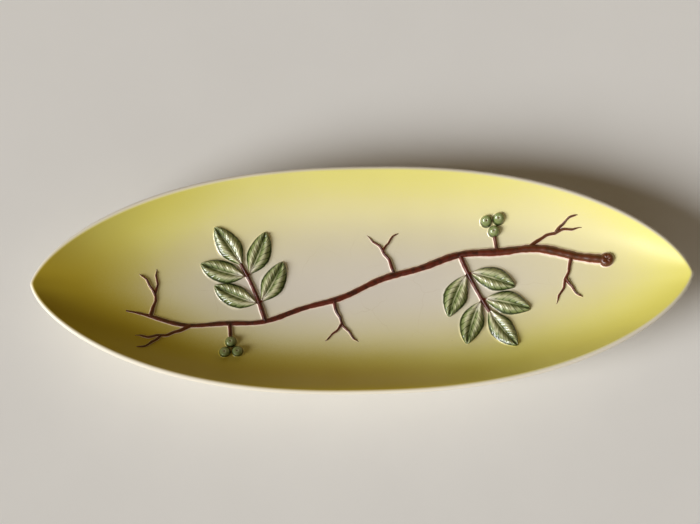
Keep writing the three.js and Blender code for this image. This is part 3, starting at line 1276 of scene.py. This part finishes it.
@dataclass(frozen=True)
class Button:
    """A round raised button: a berry, or the cut end of the stem."""

    well: Well
    diameter: float
    height: float
    dimple: float
    dimple_width: float
    side: float = 0.34
    dome_power: float = 2.6
    dome_root: float = 0.6
    edge_power: int = 16
    petals: int = 5
    petal_share: float = 0.25
    brim_width: float = 0.2
    brim_pool: float = 0.8
    dimple_pool: float = 0.5
    # pale crown: glaze thinning on the dome, and partly a painted highlight
    crown_thinning_and_highlight: float = 0.6
    crown_width: float = 0.7
    bark: Span = (0.45, 0.9)
    first_ring: float = 0.01
    reach: float = 1.35
    runs_out: float = 1.1
    rings: int = 40
    turns: int = 48

    def build(self, name: str, x: float, y: float) -> bpy.types.Object:
        """Makes the button by turning a profile about its upright axis.

        At a share r of its radius its height is a straight side plus a dome of
        (1 - min(r,1)^dome_power)^dome_root, run out into the well as 1 / (1 + r^edge_power), less a
        bell-shaped dimple of a few lobes in its crown.

        Args:
            name: The object's name.
            x: Plan x of its middle.
            y: Plan y of its middle.

        Returns:
            The new object.
        """
        r = np.linspace(self.first_ring, self.reach, self.rings)[:, None]
        turn = np.linspace(0.0, 2 * math.pi, self.turns, endpoint=False)[None, :]
        dome = (1 - np.minimum(r, 1.0) ** self.dome_power) ** self.dome_root
        fall = 1 / (1 + r**self.edge_power)
        pit = bell(r, self.dimple_width) * (1 + self.petal_share * np.cos(self.petals * turn))
        raised = self.height * (self.side + (1 - self.side) * dome) * fall - self.dimple * pit
        raised = raised - DIP * smooth_step(self.runs_out, self.reach, r)
        brim = bell(r - 1.0, self.brim_width)
        marks = {
            "cover": fall,
            "pool": np.clip(self.brim_pool * brim + self.dimple_pool * pit, 0.0, 1.0),
            # pale crown: glaze thinning, and partly a painted highlight
            "thin": self.crown_thinning_and_highlight * bell(r, self.crown_width),
            "stalk": np.zeros_like(r),
            "bark": smooth_step(*self.bark, pit),
        }
        plan_x = x + r * self.diameter / 2 * np.cos(turn)
        plan_y = y + r * self.diameter / 2 * np.sin(turn)
        return raise_piece(name, self.well, plan_x, plan_y, raised, marks, fold=0)


@dataclass(frozen=True)
class Taper:
    """How the end of a twig narrows to a point and runs out into the well, by shares along it.

    Attributes:
        point: What is left of the width at the very end.
        narrows: Where it is narrowest, and where it starts to narrow.
        lowers: Where no height is left, and where it starts to come down.
        dips: Where it starts to dip under the glaze, and where it has.
    """

    point: float
    narrows: Span
    lowers: Span
    dips: Span

    def width(self, share: np.ndarray) -> np.ndarray:
        """What is left of the width at each share along the twig."""
        return self.point + (1 - self.point) * smooth_step(*self.narrows, share)

    def lower(self, height: np.ndarray, share: np.ndarray) -> np.ndarray:
        """Heights along the twig, brought down into the well at its end."""
        return height * smooth_step(*self.lowers, share) - DIP * smooth_step(*self.dips, share)


@dataclass(frozen=True)
class Spray:
    """Where a leafy shoot leaves the stem: its share along the stem, heading and bend in degrees."""

    name: str
    at: float
    heading: float
    bend: float


@dataclass(frozen=True)
class Twig:
    """Where a bare twig leaves the stem, and where its fork leaves it."""

    name: str
    at: float
    heading: float
    bend: float
    fork_at: float
    fork_heading: float
    fork_bend: float


@dataclass(frozen=True)
class Bunch:
    """Where a stalk of berries leaves the stem."""

    name: str
    at: float
    heading: float


@dataclass
class Branch:
    """The raised branch in the well: stem, shoots with leaves, forked twigs and berries."""

    well: Well
    stem: Stem
    ridge: Ridge
    leaf: Leaf
    twig_material: bpy.types.Material
    leaf_material: bpy.types.Material
    berry_material: bpy.types.Material
    seat_gap: float = 0.3
    stem_start: float = -0.011
    stem_steps: int = 700
    stem_end: Taper = Taper(0.4, narrows=(1.0, 0.93), lowers=(1.0, 0.98), dips=(0.99, 1.0))
    shoot_width: float = 2.6
    twig_width: float = 2.2
    twig_tip_width: float = 0.9
    twig_height: float = 1.6
    twig_length: float = 28.0
    twig_end: Taper = Taper(0.3, narrows=(1.0, 0.8), lowers=(1.0, 0.88), dips=(0.95, 1.0))
    fork_length: float = 13.0
    stalk_length: float = 6.0
    overlap: float = 1.8
    kink: float = 0.55
    leaf_splay: float = 55.0
    leaf_curl: float = 16.0
    leaf_spacing: float = 1.5
    leaf_pairs: int = 2
    leaf_past_ends: float = 0.02
    berry_diameter: float = 6.6
    berry_height: float = 4.0
    berry_dimple: float = 0.45
    berry_dimple_width: float = 0.2
    berry_spacing: float = 0.6
    berries: int = 3
    knob_diameter: float = 8.0
    knob_height: float = 3.4
    knob_dimple: float = 0.9
    knob_dimple_width: float = 0.5
    steps_per_mm: float = 2.5
    sprays: tuple[Spray, ...] = (
        Spray("right", 0.29, 291.0, 9.0),
        Spray("left", 0.705, 106.0, 13.0),
    )
    twigs: tuple[Twig, ...] = (
        Twig("far_right", 0.15, 32.0, -40.0, 0.42, 50.0, -38.0),
        Twig("near_right", 0.055, 258.0, -18.0, 0.4, 298.0, 22.0),
        Twig("far_middle", 0.43, 104.0, 44.0, 0.5, 62.0, -30.0),
        Twig("near_middle", 0.56, 282.0, 38.0, 0.45, 236.0, -26.0),
        Twig("near_left", 0.86, 206.0, -34.0, 0.45, 226.0, -34.0),
        Twig("far_left", 0.945, 72.0, 26.0, 0.4, 116.0, 24.0),
    )
    bunches: tuple[Bunch, ...] = (
        Bunch("right", 0.21, 98.0),
        Bunch("left", 0.78, 274.0),
    )

    def build(self) -> None:
        """Makes every piece of the branch."""
        self.build_stem()
        for spray in self.sprays:
            self.build_spray(spray)
        for twig in self.twigs:
            self.build_twig(twig)
        for bunch in self.bunches:
            self.build_bunch(bunch)

    def stem_place(self, at: float) -> Place:
        """The place on the stem at a share of its length."""
        here = self.stem.track(np.array([at]))
        return float(here.x[0]), float(here.y[0]), float(here.heading[0]), float(self.stem.width(at))

    def root_point(self, carrier: Place, heading: float, width: float) -> Root:
        """Where a side piece's own length starts, clear of the piece that it grows from.

        Args:
            carrier: The place that it grows from.
            heading: The side piece's heading in degrees.
            width: The side piece's width.

        Returns:
            X and y of the start, and how far it lies from the carrier's middle line.
        """
        direction = math.radians(heading)
        angle = direction - carrier[2]
        away = carrier[3] / 2 + self.seat_gap + abs(math.cos(angle)) * width / 2
        distance = away / abs(math.sin(angle))
        x = carrier[0] + distance * math.cos(direction)
        return x, carrier[1] + distance * math.sin(direction), distance

    def lay_twig(
        self,
        node: str,
        root: Root,
        heading: float,
        length: float,
        bend: float,
        widths: Span,
        tapers: bool = True,
    ) -> Callable[[float], Place]:
        """Makes a twig that grows out of its carrier, and ends in a point if it tapers.

        Args:
            node: The node that it stands for.
            root: Its start, and how far back the carrier's middle line lies.
            heading: Its heading in degrees.
            length: Its length.
            bend: How far it bends, in degrees.
            widths: Its width at the root and at the tip.
            tapers: True if its end runs out into the well; otherwise it runs on under what it carries.

        Returns:
            A function of a share along it, giving the place there.
        """
        count = int((length + root[2]) * self.steps_per_mm)
        share = np.linspace(-root[2] / length, 1.0 if tapers else 1.0 + self.overlap / length, count)
        width = widths[0] + (widths[1] - widths[0]) * np.clip(share, 0.0, 1.0)
        height = self.twig_height * width / widths[0]
        if tapers:
            width = width * self.twig_end.width(share)
            height = self.twig_end.lower(height, share)
        curve = Arc(root[:2], heading, length, bend, self.kink if tapers else 0.0)
        made = self.ridge.build(f"{node}_painted", curve.track(share), width, height)
        settle(made, node, self.twig_material)

        def place(at: float) -> Place:
            """Finds a place on the twig.

            Args:
                at: The share along it.

            Returns:
                The place there.
            """
            here = curve.track(np.array([at]))
            wide = widths[0] + (widths[1] - widths[0]) * at
            return float(here.x[0]), float(here.y[0]), float(here.heading[0]), wide

        return place

    def build_stem(self) -> None:
        """Makes the main stem and the cut end that closes it."""
        share = np.linspace(self.stem_start, 1.0, self.stem_steps)
        width = self.stem.width(share) * self.stem_end.width(share)
        height = self.stem_end.lower(self.stem.height * width / self.stem.root_width, share)
        made = self.ridge.build("main_stem_painted", self.stem.track(share), width, height)
        settle(made, "main_stem", self.twig_material)

        x, y, heading, _ = self.stem_place(0.0)
        back = self.seat_gap + self.knob_diameter / 2
        x, y = x - back * math.cos(heading), y - back * math.sin(heading)
        knob = Button(
            self.well, self.knob_diameter, self.knob_height, self.knob_dimple, self.knob_dimple_width
        )
        settle(knob.build("stem_knob_painted", x, y), "stem_knob", self.twig_material)

    def build_spray(self, spray: Spray) -> None:
        """Makes a shoot with its pairs of side leaves and the leaf at its end.

        Args:
            spray: Where it leaves the stem.
        """
        pitch = (self.leaf.width + self.leaf_spacing) / math.sin(math.radians(self.leaf_splay))
        first = self.stem.root_width / 2 + self.leaf.width / 2
        length = first + pitch * (self.leaf_pairs - 1) + self.leaf.width / 2 + self.leaf_spacing
        root = self.root_point(self.stem_place(spray.at), spray.heading, self.shoot_width)
        widths = (self.shoot_width, self.twig_width)
        node = f"shoot_{spray.name}"
        place = self.lay_twig(node, root, spray.heading, length, spray.bend, widths, tapers=False)
        for pair in range(self.leaf_pairs):
            x, y, heading, _ = place((first + pitch * pair) / length)
            carrier = (x, y, heading, self.shoot_width)
            for side, hand in ((-1, "a"), (1, "b")):
                direction = math.degrees(heading) + side * self.leaf_splay
                base = self.root_point(carrier, direction, self.leaf.point)
                node = f"leaf_{spray.name}_{pair + 1}{hand}"
                self.lay_leaf(node, base, direction, -side * self.leaf_curl)
        x, y, heading, _ = place(1 + self.seat_gap / length)
        self.lay_leaf(f"leaf_{spray.name}_end", (x, y, 0.0), math.degrees(heading), spray.bend)

    def lay_leaf(self, node: str, base: Root, heading: float, bend: float) -> None:
        """Makes one leaf.

        Args:
            node: The node that it stands for.
            base: Its start.
            heading: Its heading in degrees.
            bend: How far its midrib bends, in degrees.
        """
        past = self.leaf_past_ends
        share = np.linspace(-base[2] / self.leaf.length - past, 1.0 + past, self.leaf.steps)
        track = Arc(base[:2], heading, self.leaf.length, bend).track(share)
        settle(self.leaf.build(f"{node}_glazed", track), node, self.leaf_material)

    def build_twig(self, twig: Twig) -> None:
        """Makes a bare twig and its fork.

        Args:
            twig: Where they grow.
        """
        root = self.root_point(self.stem_place(twig.at), twig.heading, self.twig_width)
        widths = (self.twig_width, self.twig_tip_width)
        node = f"twig_{twig.name}"
        place = self.lay_twig(node, root, twig.heading, self.twig_length, twig.bend, widths)
        carrier = place(twig.fork_at)
        root = self.root_point(carrier, twig.fork_heading, carrier[3])
        widths = (carrier[3], self.twig_tip_width)
        node = f"fork_{twig.name}"
        self.lay_twig(node, root, twig.fork_heading, self.fork_length, twig.fork_bend, widths)

    def build_bunch(self, bunch: Bunch) -> None:
        """Makes a stalk and the berries round its end.

        Args:
            bunch: Where it leaves the stem.
        """
        root = self.root_point(self.stem_place(bunch.at), bunch.heading, self.twig_width)
        widths = (self.twig_width, self.twig_width)
        node = f"stalk_{bunch.name}"
        self.lay_twig(node, root, bunch.heading, self.stalk_length, 0.0, widths, tapers=False)
        between = math.pi / self.berries
        ring = (self.berry_diameter + self.berry_spacing) / 2 / math.sin(between)
        reach = self.stalk_length + self.seat_gap + self.berry_diameter / 2 + ring
        start = math.radians(bunch.heading)
        x, y = root[0] + reach * math.cos(start), root[1] + reach * math.sin(start)
        berry = Button(
            self.well, self.berry_diameter, self.berry_height, self.berry_dimple, self.berry_dimple_width
        )
        for index in range(self.berries):
            angle = start + math.pi + 2 * index * between
            node = f"berry_{bunch.name}_{index + 1}"
            made = berry.build(f"{node}_glazed", x + ring * math.cos(angle), y + ring * math.sin(angle))
            settle(made, node, self.berry_material)


@dataclass(frozen=True)
class Lamp:
    """A wide soft lamp so far away that it lights the plate and the whole floor alike.

    Attributes:
        name: The lamp's name.
        azimuth: Its bearing in degrees, 0 in front and minus to the left.
        elevation: Its height in degrees.
        spread: How wide it looks from the plate, in degrees.
        level: Brightness that a white face turned to it takes, 1 being white.
    """

    name: str
    azimuth: float
    elevation: float
    spread: float
    level: float

    def build(self) -> None:
        """Hangs the lamp; its strength is level * pi, which is what a white face needs to look white."""
        azimuth, elevation = math.radians(self.azimuth), math.radians(self.elevation)
        flat = math.cos(elevation)
        toward = Vector((math.sin(azimuth) * flat, -math.cos(azimuth) * flat, math.sin(elevation)))
        light = bpy.data.lights.new(self.name, "SUN")
        light.angle = math.radians(self.spread)
        light.energy = self.level * math.pi
        lamp = bpy.data.objects.new(self.name, light)
        lamp.rotation_mode = "QUATERNION"
        lamp.rotation_quaternion = toward.to_track_quat("Z", "Y")
        bpy.context.scene.collection.objects.link(lamp)


@dataclass(frozen=True)
class Studio:
    """A pale floor, a soft lamp at the left, a weak one in front, and a camera almost overhead."""

    image_width: float = 700.0
    elevation: float = 76.0
    distance: float = 900.0
    roll: float = -1.0
    aim: tuple[float, float, float] = (-6.64, 10.7, 30.0)
    focal_pixels: float = 1566.7
    floor_size: float = 30000.0
    floor_squares: int = 8
    floor_roughness: float = 0.9
    floor_colour: Colour = paint(240, 239, 236)
    floor_mottle: Colour = paint(234, 233, 230)
    mottle_size: float = 60.0
    lamps: tuple[Lamp, ...] = (
        Lamp("window_lamp", azimuth=-64.0, elevation=29.0, spread=32.0, level=1.08),
        Lamp("front_lamp", azimuth=-5.0, elevation=27.0, spread=60.0, level=0.10),
    )
    world_colour: Colour = (1.0, 0.72, 0.38, 1.0)
    world_strength: float = 0.11

    def build(self) -> None:
        """Makes the floor, the lights and the camera."""
        self.build_floor()
        self.build_lights()
        self.build_camera()

    def build_floor(self) -> None:
        """Lays a plain pale floor under the plate, as a grid of a few large squares."""
        side = np.linspace(-0.5, 0.5, self.floor_squares + 1) * self.floor_size * MM
        x, y = np.meshgrid(side, side)
        corners = np.stack([x.ravel(), y.ravel(), np.zeros(x.size)], axis=1)
        number = np.arange(x.size).reshape(x.shape)
        faces = np.stack([number[:-1, :-1], number[:-1, 1:], number[1:, 1:], number[1:, :-1]], axis=2)
        mesh = bpy.data.meshes.new("studio_floor")
        mesh.from_pydata(corners.tolist(), [], faces.reshape(-1, 4).tolist())
        floor = bpy.data.objects.new("studio_floor", mesh)
        bpy.context.scene.collection.objects.link(floor)
        bench = Bench("studio_floor", self.floor_roughness)
        mottle = bench.noise(self.mottle_size, detail=3.0)
        mesh.materials.append(bench.finish(bench.mix(mottle, self.floor_colour, self.floor_mottle)))

    def build_lights(self) -> None:
        """Hangs the soft lamps and sets a dim even world."""
        for lamp in self.lamps:
            lamp.build()
        world = bpy.data.worlds.new("studio")
        world.use_nodes = True
        back = world.node_tree.nodes["Background"]
        back.inputs["Color"].default_value = self.world_colour
        back.inputs["Strength"].default_value = self.world_strength
        bpy.context.scene.world = world

    def build_camera(self) -> None:
        """Sets the camera at the photograph's angle, slightly rolled."""
        tilt, roll = math.radians(self.elevation), math.radians(self.roll)
        back = Vector((0.0, -math.cos(tilt), math.sin(tilt)))
        right = Vector((1.0, 0.0, 0.0))
        up = back.cross(right)
        across = right * math.cos(roll) + up * math.sin(roll)
        upward = up * math.cos(roll) - right * math.sin(roll)
        lens = bpy.data.cameras.new("camera")
        lens.sensor_fit = "HORIZONTAL"
        lens.lens = self.focal_pixels / self.image_width * lens.sensor_width
        camera = bpy.data.objects.new("camera", lens)
        turn = Matrix((across, upward, back)).transposed().to_4x4()
        place = (Vector(self.aim) + back * self.distance) * MM
        camera.matrix_world = Matrix.Translation(place) @ turn
        bpy.context.scene.collection.objects.link(camera)
        bpy.context.scene.camera = camera
        bpy.context.scene.view_settings.view_transform = "Standard"


def main() -> None:
    """Builds the plate, its branch and the studio, in that order."""
    logging.basicConfig(level=logging.INFO, format="%(name)s: %(message)s")
    well = Well()
    glaze = YellowGlaze()
    PlateBody(well).build(glaze.material())
    FootRing(well).build(FootFinish().material(glaze))
    leaf_paint = LeafPaint()
    Branch(
        well,
        Stem(well),
        Ridge(well),
        Leaf(well),
        twig_material=TwigPaint().material(glaze),
        leaf_material=leaf_paint.material("leaf_glaze", glaze),
        berry_material=leaf_paint.material("berry_glaze", glaze),
    ).build()
    Studio().build()


if __name__ == "__main__":
    main()
